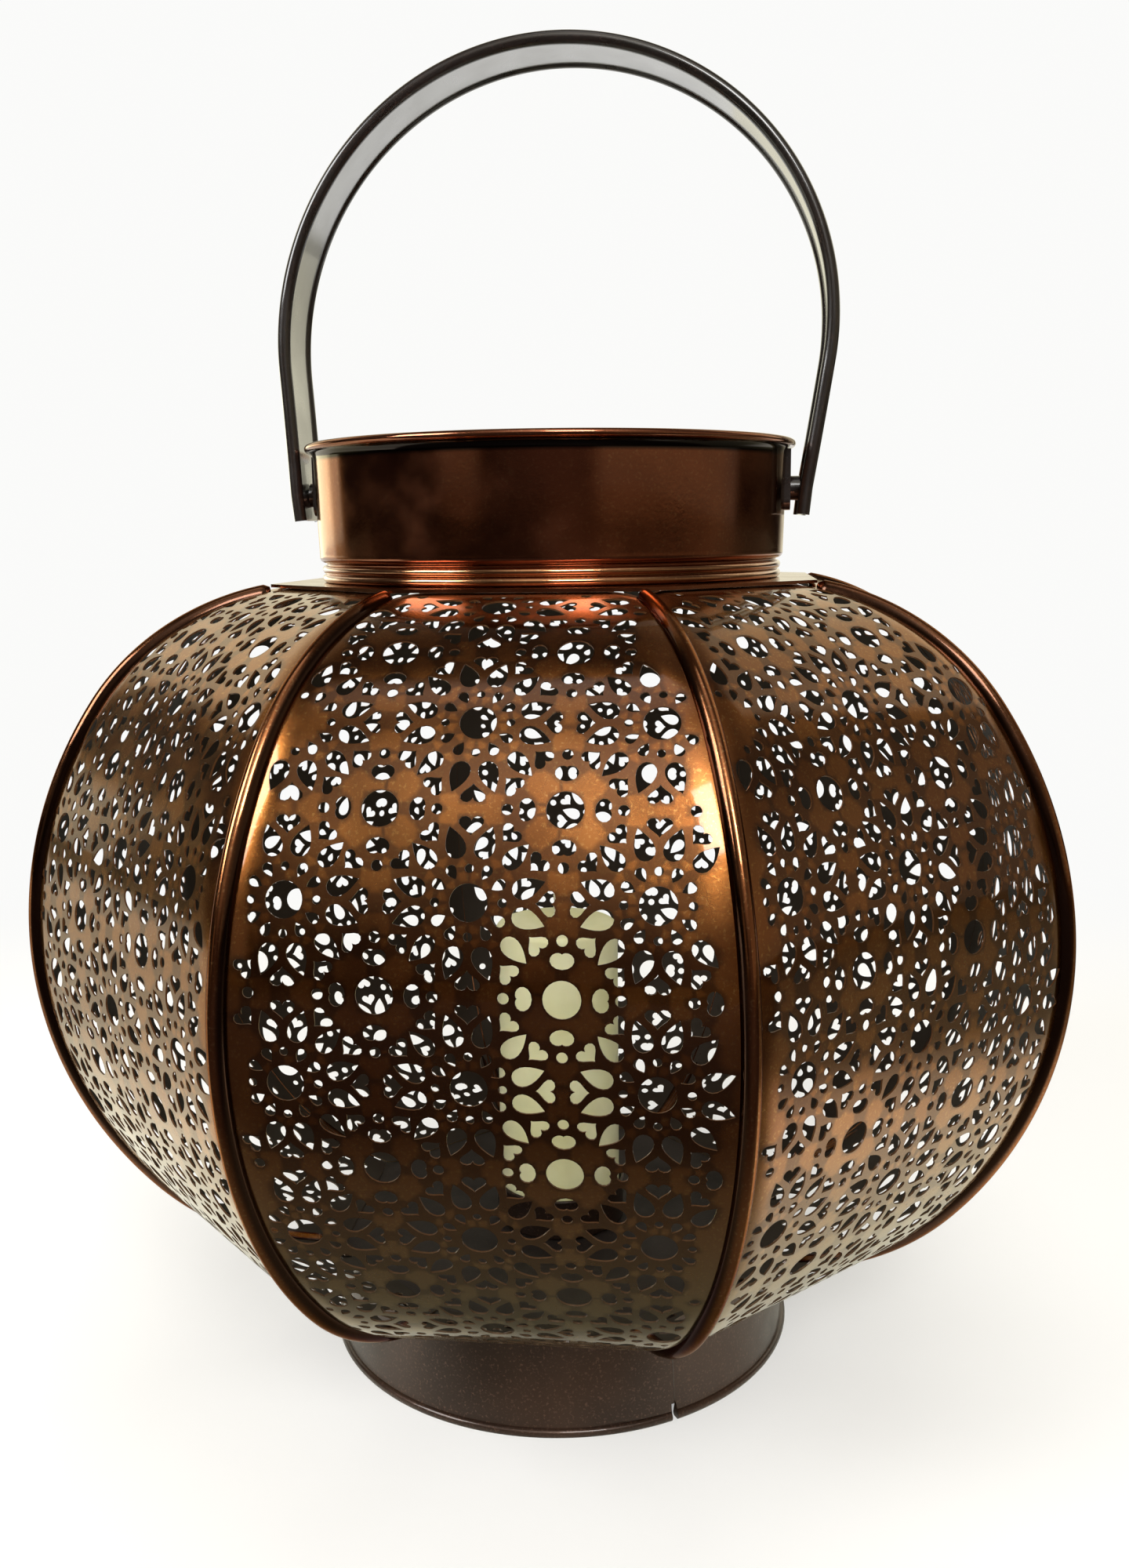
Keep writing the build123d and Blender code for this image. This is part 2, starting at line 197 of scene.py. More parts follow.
def lacquer_group():
    """Shader group of cloudy, grainy lacquer: two tones clouded together, glints, smears and a wavy sheet."""
    group = bpy.data.node_groups.new("lacquer", "ShaderNodeTree")
    for name, kind in (("Vector", "Vector"), ("Tone", "Color"), ("Deep", "Color"), ("Glint", "Color"),
                       ("Cloud Scale", "Float"), ("Gloss", "Float"), ("Wave", "Float")):
        group.interface.new_socket(name, in_out="INPUT", socket_type="NodeSocket" + kind)
    for name, kind in (("Color", "Color"), ("Roughness", "Float"), ("Height", "Float")):
        group.interface.new_socket(name, in_out="OUTPUT", socket_type="NodeSocket" + kind)
    given = group.nodes.new("NodeGroupInput").outputs
    result = group.nodes.new("NodeGroupOutput").inputs

    def noise(scale, detail):
        """Noise over the piece, with features of about one over scale metres."""
        inputs = {"Vector": given["Vector"], "Scale": scale, "Detail": detail}
        return add_node(group, "ShaderNodeTexNoise", inputs).outputs["Fac"]

    cloud = spread(noise(given["Cloud Scale"], 4), 0.36, 0.64)
    grain = spread(noise(1500, 2), 0.56, 0.78, 0.0, 0.55)
    smear = spread(noise(75, 5), 0.3, 0.7, -0.07, 0.1)
    wave = worked_out("MULTIPLY", noise(42, 1), given["Wave"])
    peel = worked_out("MULTIPLY", noise(900, 2), 0.012)
    feed(result["Color"], mixed(grain, mixed(cloud, given["Deep"], given["Tone"]), given["Glint"]))
    feed(result["Roughness"], worked_out("ADD", given["Gloss"], smear))
    feed(result["Height"], worked_out("ADD", wave, peel))
    return group


def lacquer(name, tone, deep, glint, gloss, metallic, coat, cloud_scale=28, wave=0.5, grazing_tint=(1, 1, 1)):
    """Material of one lacquer: the shared group with its own colours, over metal under a thin clear coat."""
    material, place, shader = new_material(name)
    inputs = {"Vector": place, "Tone": tone, "Deep": deep, "Glint": glint,
              "Cloud Scale": cloud_scale, "Gloss": gloss, "Wave": wave}
    group = bpy.data.node_groups.get("lacquer") or lacquer_group()
    finish = add_node(material.node_tree, "ShaderNodeGroup", inputs, node_tree=group).outputs
    feed(shader["Base Color"], finish["Color"])
    feed(shader["Roughness"], finish["Roughness"])
    feed(shader["Normal"], bumped(finish["Height"], 0.35, 0.002))
    feed(shader["Metallic"], metallic)
    feed(shader["Coat Weight"], coat)
    feed(shader["Coat Roughness"], 0.06)
    feed(shader["Specular Tint"], grazing_tint)
    return material


foot_lacquer = lacquer("foot_lacquer", (0.054, 0.028, 0.017), (0.030, 0.016, 0.010), (0.17, 0.09, 0.06),
                       gloss=0.36, metallic=0.6, coat=0.5)

foot_wall_low = foot_roll_middle + (0, foot_roll)
foot_inner_low = foot_wall_low - (tin, 0)
foot_roll_start = np.degrees(np.arctan2(np.sqrt(foot_roll ** 2 - tin ** 2), -tin))
foot_profile = joined(
    line(foot_top - (tin, 0), foot_inner_low + (0, foot_inner_rise), 12),
    arc(foot_roll_middle, foot_roll, foot_roll_start, foot_roll_end, 30),
    line(foot_wall_low + (0, foot_outer_rise), foot_top, foot_wall_count),
)
foot_profile[:, 1] = np.maximum(foot_profile[:, 1], 0)
nick_sides = lap_edge + np.array((-nick_half - nick_side, -nick_half, nick_half, nick_half + nick_side))
lap_places = np.linspace(-lap_run, lap_edge + 2 * lap_drop, 60)
foot_angles = np.unique(np.concatenate([
    ring(240) - np.pi,
    foot_seam + nick_sides / foot_roll_middle[0],
    foot_seam + lap_places / foot_roll_middle[0],
]))
along_seam = (foot_angles - foot_seam)[:, None] * foot_roll_middle[0]
lap = np.clip((along_seam + lap_run) / (lap_run + lap_edge), 0, 1)
lap = lap * (1 - np.clip((along_seam - lap_edge) / lap_drop, 0, 1))
outside = np.arange(len(foot_profile)) >= len(foot_profile) - foot_wall_count
foot_radius = foot_profile[:, 0] + tin * lap * outside
foot_rise = np.broadcast_to(foot_profile[:, 1], foot_radius.shape)
in_nick = (np.abs(along_seam - lap_edge) < nick_half + nick_side / 2) & (foot_rise < nick_height)
wall_middle = foot_wall_low[0] - tin / 2
foot_radius = np.where(in_nick, wall_middle + nick_wall_share * (foot_radius - wall_middle), foot_radius)
foot_rise = np.where(in_nick, nick_height - nick_roof * (1 - foot_rise / nick_height), foot_rise)
foot_points = turned(np.stack([foot_radius, foot_rise], axis=-1), foot_angles)
make_piece("foot_strip", foot_points, grid_faces(foot_points), "lantern", "foot_ring",
           foot_lacquer)

# Base plate
# A flat eight-sided tin floor under the panels' lower ends, soldered to them and to the foot.
# Its lacquer is dark and dull.


def dress(node, material):
    """Give a solid of the frame its finish."""
    solid = frame["nodes"][node].data
    solid.materials.clear()
    solid.materials.append(material)


dress("base_plate", lacquer("base_lacquer", (0.020, 0.013, 0.010), (0.012, 0.008, 0.006), (0.05, 0.03, 0.02),
                            gloss=0.6, metallic=0.0, coat=0.0))

# Candle cup
# A low drawn cup of tin with a turned-out lip and rounded corners.
# It is soldered to the middle of the base plate and dipped like the foot.
cup_low, cup_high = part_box("candle_cup")
cup_lip = 0.0005
cup_corner = 0.001
cup_bore = cup_high.x - tin
cup_floor = cup_low.z + tin
pole = 1e-5
cup_profile = joined(
    line((pole, cup_low.z), (cup_high.x - 2 * cup_corner, cup_low.z), 5),
    arc((cup_high.x - cup_corner, cup_low.z + cup_corner), cup_corner, -90, 0, 6),
    line((cup_high.x, cup_low.z + cup_corner), (cup_high.x, cup_high.z - cup_corner), 4),
    arc((cup_bore + cup_lip, cup_high.z - cup_lip), cup_lip, 0, 180, 9),
    line((cup_bore, cup_high.z - cup_lip), (cup_bore, cup_high.z - cup_corner), 2),
    arc((cup_bore - cup_corner, cup_floor + cup_corner), cup_corner, 0, -90, 6),
    line((cup_bore - cup_corner, cup_floor), (pole, cup_floor), 6),
)
cup_points = turned(cup_profile, ring(96))
make_piece("cup_shell", cup_points, grid_faces(cup_points, open_columns=True), "lantern",
           "candle_cup", foot_lacquer)

# Candle and wick
# A slim cast pillar of pale wax with a softened rim and a shallow melted dish, loose in its cup.
# Its wick is three strands of waxed cotton, twisted.
candle_low, candle_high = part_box("candle")
candle_radius = candle_high.x
candle_soft = 0.0016
candle_side_margin = 0.004
dish_depth = 0.0012


def ramp(value, *stops):
    """Colours that a value passes through, each given with its place from 0 to 1."""
    made = add_node(value.id_data, "ShaderNodeValToRGB", {"Fac": value})
    elements = made.color_ramp.elements
    while len(elements) < len(stops):
        elements.new(1)
    for element, (place, colour) in zip(elements, stops):
        element.position = place
        element.color = (*colour, 1)
    return made.outputs["Color"]


def wax_material():
    """Pale wax: two creams clouded together over the pillar, soft light under the skin and a waxy gloss."""
    material, place, shader = new_material("wax")
    inputs = {"Vector": place, "Scale": 45, "Detail": 4}
    cloud = add_node(material.node_tree, "ShaderNodeTexNoise", inputs).outputs["Fac"]
    feed(shader["Base Color"], ramp(cloud, (0.35, (0.74, 0.71, 0.36)), (0.65, (0.90, 0.87, 0.55))))
    feed(shader["Normal"], bumped(cloud, 0.25, 0.001))
    feed(shader["Roughness"], 0.42)
    feed(shader["Subsurface Weight"], 0.25)
    feed(shader["Subsurface Radius"], (0.006, 0.005, 0.003))
    return material


from_middle = np.linspace(1, 0, 14)
dish = np.stack([
    np.maximum(from_middle * (candle_radius - 2 * candle_soft), pole),
    candle_high.z - dish_depth * (1 - from_middle ** 2) ** 2,
], axis=-1)
candle_profile = joined(
    line((pole, candle_low.z), (candle_radius - candle_soft, candle_low.z), 6),
    arc((candle_radius - candle_soft, candle_low.z + candle_soft), candle_soft, -90, 0, 8),
    line((candle_radius, candle_low.z + candle_side_margin),
         (candle_radius, candle_high.z - candle_side_margin), 24),
    arc((candle_radius - candle_soft, candle_high.z - candle_soft), candle_soft, 0, 90, 8),
    dish,
)
candle_points = turned(candle_profile, ring(96))
make_piece("candle_pillar", candle_points, grid_faces(candle_points, open_columns=True), "candle",
           "candle", wax_material())

wick_low, wick_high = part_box("wick")
wick_strands = 3
wick_turns = 5
wick_groove = 0.14
wick_tip = 0.06
wick_blunt = 0.02


def cotton_material():
    """Waxed cotton: cream threads in fine slanting bands, with a soft rough skin."""
    material, place, shader = new_material("wick_cotton")
    inputs = {"Vector": place, "Scale": 900, "Distortion": 3}
    thread = add_node(material.node_tree, "ShaderNodeTexWave", inputs, bands_direction="DIAGONAL")
    feed(shader["Base Color"], ramp(thread.outputs["Fac"], (0, (0.42, 0.38, 0.28)), (1, (0.78, 0.73, 0.58))))
    feed(shader["Roughness"], 0.85)
    return material


wick_angles = ring(18)
wick_way = np.linspace(0, 1, 60)
wick_twist = wick_strands * wick_angles[:, None] - 2 * np.pi * wick_turns * wick_way
wick_radius = wick_high.x * (1 - wick_groove + wick_groove * np.cos(wick_twist))
wick_radius = wick_radius * np.sqrt(np.clip((1 + wick_blunt - wick_way) / wick_tip, 0, 1))
wick_rise = np.broadcast_to(wick_low.z + (wick_high.z - wick_low.z) * wick_way, wick_radius.shape)
wick_points = turned(np.stack([wick_radius, wick_rise], axis=-1), wick_angles)
make_piece("wick_cord", wick_points, grid_faces(wick_points, open_columns=True), "candle",
           "wick", cotton_material(), sharp=60)

# Panels
# Eight thin sheets of tin, punched flat with a rosette lattice and rolled from base to neck, with their
# long edges eased inwards and copper-brown lacquer outside. They are flat across and meet at the corners,
# under the ribs, so one punched sheet is worked out and turned about the axis.
panel_names = ("front", "front_right", "right", "back_right", "back", "back_left", "left", "front_left")
half_turn = np.pi / len(panel_names)
panel_gap = 0.0012
sheet = 0.0004
belly = np.array((-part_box("panel_front")[0].y, 0.125))
hip = belly + (-0.025, -0.0705)
base = np.array((0.059, 0.029))
shoulder = belly + (-0.0174, 0.0609)
neck = np.array((0.0682, 0.2144))


def bend(start, lean, end):
    """Arc that leaves start square to the outward angle lean and passes end: radius, centre and last angle.

    The radius is the chord squared over twice the chord's drop along the outward direction.
    """
    outward = np.array((np.cos(lean), np.sin(lean)))
    chord = end - start
    radius = -(chord @ chord) / (2 * chord @ outward)
    centre = start - radius * outward
    return radius, centre, np.arctan2(*(end - centre)[::-1])


upper = bend(belly, 0.0, shoulder)
uppermost = bend(shoulder, upper[2], neck)
lower = bend(belly, 0.0, hip)
lowest = bend(hip, lower[2], base)
bends = (lowest, lower, upper, uppermost)
hip_run = lower[0] * lower[2]
shoulder_run = upper[0] * upper[2]
base_run = hip_run + lowest[0] * (lowest[2] - lower[2])
neck_run = shoulder_run + uppermost[0] * (uppermost[2] - upper[2])


def rolled(run, offset=0.0):
    """Apothem, height and outward angle on the rolled outline, run metres up from the belly.

    On each arc the angle grows by the run over the radius. The point is the centre plus radius plus offset.
    """
    which = np.searchsorted((hip_run, 0.0, shoulder_run), run)
    radius = np.array([one[0] for one in bends])[which]
    centre = np.array([one[1] for one in bends])[which]
    first_run = np.array((hip_run, 0.0, 0.0, shoulder_run))[which]
    first_angle = np.array((lower[2], 0.0, 0.0, upper[2]))[which]
    angle = first_angle + (run - first_run) / radius
    reach = radius + offset
    return centre[..., 0] + reach * np.cos(angle), centre[..., 1] + reach * np.sin(angle), angle


def half_width(run):
    """Half the panel's width at a run: apothem, less the corner gap, times the tangent of half its angle."""
    return (rolled(run)[0] - panel_gap / 2 / np.sin(half_turn)) * np.tan(half_turn)


def round_hole(diameter, count):
    """Circle: half the diameter times e to the i t."""
    return diameter / 2 * np.exp(1j * ring(count))


def drop_hole(length, width, count):
    """Teardrop with its point along +x: cosine of t along, sine of t times sine of half t across."""
    widest = 0.77
    t = ring(count)
    return length / 2 * np.cos(t) + 1j * width / 2 * np.sin(t) * np.sin(t / 2) / widest


def sized(x, y, depth, width):
    """Outline brought to a depth along x and a width along y, and centred."""
    return depth * ((x - x.min()) / np.ptp(x) - 0.5) + 1j * width * ((y - y.min()) / np.ptp(y) - 0.5)


def kidney_hole(width, depth):
    """Kidney with its dent facing +x: a limacon, whose radius is one plus dent times cosine."""
    dent = 0.95
    t = ring(20)
    shape = -(1 + dent * np.cos(t)) * np.exp(1j * t)
    return sized(shape.real, shape.imag, depth, width)


def heart_hole(width, depth):
    """Heart with its dent facing +x and its point facing -x: sine of t cubed across, four cosines along."""
    t = -ring(22)
    along = 13 * np.cos(t) - 5 * np.cos(2 * t) - 2 * np.cos(3 * t) - np.cos(4 * t)
    return sized(along, -np.sin(t) ** 3, depth, width)


pitch = 0.01855
lattice_start = complex(-0.002, -0.0048)
side_margin = 0.0024
end_margin = 0.0028
eye = round_hole(0.0076, 28)
eye_dot, eye_dot_ring = round_hole(0.0018, 14), 0.0067
eye_drop, eye_drop_ring = drop_hole(0.0031, 0.0022, 14), 0.00675
eye_kidney, eye_kidney_ring = kidney_hole(0.0048, 0.0033), 0.0075
outer_dot, outer_dot_ring = round_hole(0.0023, 14), 0.0115
inner_heart, inner_heart_reach = heart_hole(0.0050, 0.0040), 0.0034
bent_heart, bent_heart_place = heart_hole(0.0045, 0.0038), (0.0052, 0.0077)
petal, petal_place, petal_tilt = drop_hole(0.0068, 0.0041, 20), (0.0067, 0.0032), 0.34
diagonal_leaf = drop_hole(0.0066, 0.0038, 20)


def placed(shape, middles, turns):
    """Copies of a hole: each turned by e to the i turn and moved to its middle. One row for each copy."""
    middles, turns = np.broadcast_arrays(np.atleast_1d(middles), np.atleast_1d(turns))
    return middles[:, None] + shape[None, :] * np.exp(1j * turns)[:, None]


def repeat_motif():
    """Holes of one square of the lattice, two pitches wide, as lists of like holes around its first eye.

    Round eyes stand at the corner and the centre, ringed by drops and dots or by kidneys and dots. Rosettes
    of hearts, petals and bent hearts lie between them, along and up. A leaf lies on every diagonal.
    """
    quarters = np.pi / 2 * np.arange(4)
    twelfths = np.pi / 6 * np.arange(12)
    between = twelfths[np.arange(12) % 3 != 0]
    centre = complex(pitch, pitch)
    sets = [
        placed(eye, np.array((0, centre)), 0),
        placed(eye_dot, eye_dot_ring * np.exp(1j * quarters), 0),
        placed(eye_drop, eye_drop_ring * np.exp(1j * between), between + np.pi),
        placed(eye_kidney, centre + eye_kidney_ring * np.exp(1j * quarters), quarters),
        placed(outer_dot, centre + outer_dot_ring * np.exp(1j * quarters), 0),
    ]
    for rosette, quarter_turn in ((complex(pitch, 0), 1), (complex(0, pitch), 1j)):
        for side in (1, -1):
            inner = placed(inner_heart, inner_heart_reach * side, np.angle(-side))
            sets.append(rosette + quarter_turn * inner)
            for up in (1, -1):
                towards = np.array((side, 1j * up))
                slope = np.angle(complex(-side * np.cos(petal_tilt), up * np.sin(petal_tilt)))
                facing = np.angle(complex(-side, up))
                sets.append(rosette + quarter_turn * placed(petal, petal_place @ towards, slope))
                sets.append(rosette + quarter_turn * placed(bent_heart, bent_heart_place @ towards, facing))
    diagonals = np.pi / 4 + quarters
    sets.append(placed(diagonal_leaf, pitch / np.sqrt(2) * np.exp(1j * diagonals), diagonals))
    return sets


def lattice():
    """All whole holes clear of the panel's edges, in lists of like holes, as across plus i times run."""
    across, up = np.meshgrid(np.arange(-3, 4), np.arange(-5, 5))
    squares = lattice_start + 2 * pitch * (across + 1j * up).ravel()
    kept = []
    for holes in repeat_motif():
        holes = (squares[:, None, None] + holes[None]).reshape(-1, holes.shape[1])
        off_ends = (holes.imag > base_run + end_margin) & (holes.imag < neck_run - end_margin)
        off_sides = np.abs(holes.real) < half_width(np.clip(holes.imag, base_run, neck_run)) - side_margin
        kept.append(holes[(off_ends & off_sides).all(axis=1)])
    return kept


def sheet_outline():
    """Edge of the flat panel: along its base, up the right side, back along its neck and down the left."""
    runs = np.linspace(base_run, neck_run, 118)
    ends = np.linspace(-1, 1, 26)[1:-1]
    return np.concatenate([
        ends * half_width(base_run) + 1j * base_run,
        half_width(runs) + 1j * runs,
        -ends * half_width(neck_run) + 1j * neck_run,
        -half_width(runs[::-1]) + 1j * runs[::-1],
    ])


fill_step = 0.0022
fill_reach = 0.056
fill_off_sides = 0.0012
fill_off_base = 0.001
fill_off_holes = 0.0005


def sheet_fill(holes):
    """Points spread evenly over the metal, clear of the sheet's edges and of the circle round each hole."""
    across = np.arange(-fill_reach, fill_reach, fill_step)
    up = np.arange(base_run, neck_run, fill_step)
    fill = (across + 1j * up[:, None]).ravel()
    fill = fill[np.abs(fill.real) < half_width(fill.imag) - fill_off_sides]
    fill = fill[fill.imag > base_run + fill_off_base]
    middles = np.concatenate([hole.mean(axis=1) for hole in holes])
    reach = np.concatenate([np.abs(hole - hole.mean(axis=1)[:, None]).max(axis=1) for hole in holes])
    return fill[(np.abs(fill[:, None] - middles) > reach + fill_off_holes).all(axis=1)]


def inside_hole(points, corners):
    """Whether each point lies in its own polygon, by counting the sides that a ray to the right crosses."""
    following = np.roll(corners, -1, axis=1)
    crosses = (corners.imag > points.imag[:, None]) != (following.imag > points.imag[:, None])
    rise = np.where(crosses, following.imag - corners.imag, 1)
    at = corners.real + (points.imag[:, None] - corners.imag) / rise * (following.real - corners.real)
    return (crosses & (points.real[:, None] < at)).sum(axis=1) % 2 == 1


def punched_sheet():
    """Flat points, triangles and edges of one punched panel, and how many of the edges are its outline's.

    Outline, holes and fill are joined by a constrained triangulation, in millimetres. A triangle is dropped
    if all its corners are on the edge of one hole and its middle lies inside that hole.
    """
    holes = lattice()
    outline = sheet_outline()
    fill = sheet_fill(holes)
    edges, owner, start = [], [], 0
    for loop in [outline[None]] + holes:
        index = start + np.arange(loop.size).reshape(loop.shape)
        edges.append(np.stack([index, np.roll(index, -1, axis=1)], axis=-1).reshape(-1, 2))
        owner.append(np.repeat(index[:, 0], loop.shape[1]))
        start += loop.size
    edges = np.concatenate(edges)
    owner = np.concatenate(owner + [-1 - np.arange(len(fill))])
    points = np.concatenate([outline] + [hole.ravel() for hole in holes] + [fill])
    flat = np.stack([points.real, points.imag], axis=-1) * 1000
    triangles = np.array(delaunay_2d_cdt(flat.tolist(), edges.tolist(), [], 1, 1e-6, False)[2])
    own = owner[triangles]
    on_one_hole = (own == own[:, :1]).all(axis=1) & (own[:, 0] >= len(outline))
    centres = points[triangles].mean(axis=1)
    is_open = np.zeros(len(triangles), dtype=bool)
    start = len(outline)
    for hole in holes:
        mine = on_one_hole & (own[:, 0] >= start) & (own[:, 0] < start + hole.size)
        is_open[mine] = inside_hole(centres[mine], hole[(own[mine, 0] - start) // hole.shape[1]])
        start += hole.size
    return points, triangles[~is_open], edges, len(outline)


def eased(value, low, high, to_low=0.0, to_high=1.0):
    """A value mapped from one range to another, slow to leave the first end and slow to reach the second."""
    return spread(value, low, high, to_low, to_high, "SMOOTHSTEP")


def mark(piece, name, domain, values):
    """Keep a value for each point or face of a piece, under a name that its material reads."""
    piece.data.attributes.new(name, "FLOAT", domain).data.foreach_set("value", values)


def marked(material, name):
    """The value that a piece keeps under a name."""
    return add_node(material.node_tree, "ShaderNodeAttribute", attribute_name=name).outputs["Fac"]


def blended(material, share, colour):
    """Mix a plain colour into a material's base colour by a share that changes over the surface."""
    base_colour = material.node_tree.nodes["Principled BSDF"].inputs["Base Color"]
    feed(base_colour, mixed(share, base_colour.links[0].from_socket, colour))


def olive_floor_reflection_at_base(material):
    """Painted reflection of the pale floor: the copper lacquer turns olive towards the panel's foot."""
    place = add_node(material.node_tree, "ShaderNodeTexCoord").outputs["Object"]
    rise = add_node(material.node_tree, "ShaderNodeSeparateXYZ", {"Vector": place}).outputs["Z"]
    # painted reflection: olive mixed in below 0.12 m
    blended(material, eased(rise, 0.045, 0.120, 0.75, 0.0), (0.21, 0.18, 0.11))


def darken_inside(material):
    """Paint shade on the punched sheet by its own values: dark rims round the holes, and a dark inner face
    for the shade inside the lantern.

    The inner face is near-black brown and rougher, with no metal and no coat.
    """
    shader = material.node_tree.nodes["Principled BSDF"].inputs
    inside = marked(material, "inside")
    # painted shade: the rims round the holes darkened
    blended(material, eased(marked(material, "rim"), 0.35, 1.0, 0.0, 0.6), (0.060, 0.022, 0.010))
    # painted shade inside the lantern: the inner face near-black, with no coat or metal
    blended(material, inside, (0.016, 0.010, 0.007))
    for name in ("Coat Weight", "Metallic"):
        feed(shader[name], eased(inside, 0.0, 1.0, shader[name].default_value, 0.0))
    roughness = shader["Roughness"].links[0].from_socket
    feed(shader["Roughness"], worked_out("MULTIPLY_ADD", inside, 0.4, roughness))


def spun(points, angle):
    """Points turned about Z by an angle in radians, one row each."""
    return np.reshape(points, (-1, 3)) @ np.array(Matrix.Rotation(angle, 3, "Z")).T


panel_lacquer = lacquer("panel_lacquer", (0.375, 0.141, 0.032), (0.295, 0.098, 0.022), (0.64, 0.37, 0.12),
                        gloss=0.22, metallic=1.0, coat=0.8, cloud_scale=24, grazing_tint=(1.0, 0.92, 0.74))
olive_floor_reflection_at_base(panel_lacquer)
darken_inside(panel_lacquer)
sheet_points, sheet_faces, sheet_edges, outline_count = punched_sheet()
panel_runs = np.clip(sheet_points.imag, base_run, neck_run)
edge_reach = 0.007
edge_slope = 0.30
past_edge = np.maximum(np.abs(sheet_points.real) - half_width(panel_runs) + edge_reach, 0)
edge_drop = edge_slope * past_edge ** 2 / (2 * edge_reach)
panel_skins = []
for depth in (0.0, sheet):
    panel_apothem, panel_rise, panel_lean = rolled(panel_runs, -depth - edge_drop)
    panel_skins.append(np.stack([sheet_points.real, -panel_apothem, panel_rise], axis=-1))
panel_points = np.concatenate(panel_skins)
edge_tilt = np.sign(sheet_points.real) * edge_slope * past_edge / edge_reach
panel_normal = np.stack([edge_tilt, -np.cos(panel_lean), np.sin(panel_lean)], axis=-1)
panel_normal = panel_normal / np.linalg.norm(panel_normal, axis=1)[:, None]
behind = len(sheet_points)
# points on the holes' edges, which take the painted shade
hole_edge_shade = np.zeros(behind)
hole_edge_shade[np.unique(sheet_edges[outline_count:])] = 1.0
first, second = sheet_edges.T
walls = np.where(
    (np.arange(len(sheet_edges)) < outline_count)[:, None],
    np.stack([second, first, first + behind, second + behind], axis=-1),
    np.stack([first, second, second + behind, first + behind], axis=-1),
)
panel_faces = sheet_faces.tolist() + (sheet_faces[:, ::-1] + behind).tolist() + walls.tolist()
wall_corner = panel_points[walls]
wall_normal = np.cross(wall_corner[:, 1] - wall_corner[:, 0], wall_corner[:, 3] - wall_corner[:, 0])
wall_normal = wall_normal / np.linalg.norm(wall_normal, axis=1)[:, None]
corner_normals = np.concatenate([
    panel_normal[sheet_faces.ravel()],
    -panel_normal[sheet_faces[:, ::-1].ravel()],
    np.repeat(wall_normal, 4, axis=0),
])
# share of painted inner shade: none outside, all inside, half on the hole walls
inside_share = np.repeat((0.0, 1.0, 0.5), (len(sheet_faces), len(sheet_faces), len(walls)))
for place_round, name in enumerate(panel_names):
    panel_turn = 2 * half_turn * place_round
    panel = make_piece(f"punched_{name}", spun(panel_points, panel_turn), panel_faces, "lantern",
                       f"panel_{name}", panel_lacquer)
    panel.data.normals_split_custom_set(spun(corner_normals, panel_turn).tolist())
    mark(panel, "inside", "FACE", inside_share)
    mark(panel, "rim", "POINT", np.tile(hole_edge_shade, 2))

# Seam ribs
# A narrow half-round tin strip over each corner, soldered down on both panels' edges, with rounded ends.
# It is bright copper on its crown, with painted shade darkening its flanks.
rib_half = 0.0021
rib_crown = 0.0014
rib_foot = -0.0015
rib_foot_half = 0.0005
rib_nose = 0.0016
rib_blunt = 0.02
rib_end_width = 0.35
rib_end_height = 0.25
rib_low_reach = 0.0694
rib_high_reach = 0.0760
rib_count = 180


def corner_reach(run):
    """Distance of the panels' corner from the axis: the apothem over the cosine of half a side's angle."""
    return rolled(run)[0] / np.cos(half_turn)


def carried(path, side, rise):
    """A section carried along a path in the XZ plane: its side along Y, its rise outwards from the path.

    Outwards is the path's direction, of length one, turned a quarter to the right.
    """
    way = np.gradient(path, axis=0)
    way = way / np.linalg.norm(way, axis=1)[:, None]
    reach = path[:, None, 0] + rise * way[:, None, 1]
    height = path[:, None, 1] - rise * way[:, None, 0]
    return np.stack(np.broadcast_arrays(reach, side, height), axis=-1)


below_belly = np.linspace(base_run, 0, 1000)
above_belly = np.linspace(neck_run, 0, 1000)
rib_runs = np.linspace(
    np.interp(rib_low_reach, corner_reach(below_belly), below_belly),
    np.interp(rib_high_reach, corner_reach(above_belly), above_belly),
    rib_count,
)
rib_line = np.stack([corner_reach(rib_runs), rolled(rib_runs)[1]], axis=-1)
rib_section = np.concatenate([
    arc((0, 0), 1, 0, 180, 19) * (rib_half, rib_crown - rib_foot) + (0, rib_foot),
    np.array(((-rib_foot_half, rib_foot), (rib_foot_half, rib_foot))),
])
from_end = np.minimum(rib_runs - rib_runs[0], rib_runs[-1] - rib_runs)
near_end = np.clip(from_end / rib_nose, rib_blunt, 1)
nose = np.sqrt(near_end * (2 - near_end))[:, None]
rib_side = rib_section[:, 0] * (rib_end_width + (1 - rib_end_width) * nose)
rib_rise = rib_section[:, 1] * (rib_end_height + (1 - rib_end_height) * nose)
rib_points = carried(rib_line, rib_side, rib_rise)
rib_faces = grid_faces(rib_points, open_rows=True)
rib_lacquer = lacquer("rib_lacquer", (0.40, 0.150, 0.055), (0.26, 0.092, 0.034), (0.70, 0.44, 0.22),
                      gloss=0.15, metallic=1.0, coat=0.3, grazing_tint=(0.40, 0.32, 0.24))
# painted shade: the rib's flanks darkened towards its edges
blended(rib_lacquer, eased(marked(rib_lacquer, "flank_shade"), 0.35, 0.85, 0.0, 0.9), (0.030, 0.013, 0.008))
shaded_flank = np.tile(np.abs(rib_section[:, 0]) / rib_half, rib_count)
for place_round in range(len(panel_names)):
    rib_turn = half_turn * (2 * place_round + 1) - np.pi / 2
    rib = make_piece(f"corner_strip_{place_round + 1}", spun(rib_points, rib_turn), rib_faces, "lantern",
                     f"seam_rib_{place_round + 1}", rib_lacquer, sharp=50)
    mark(rib, "flank_shade", "POINT", shaded_flank)

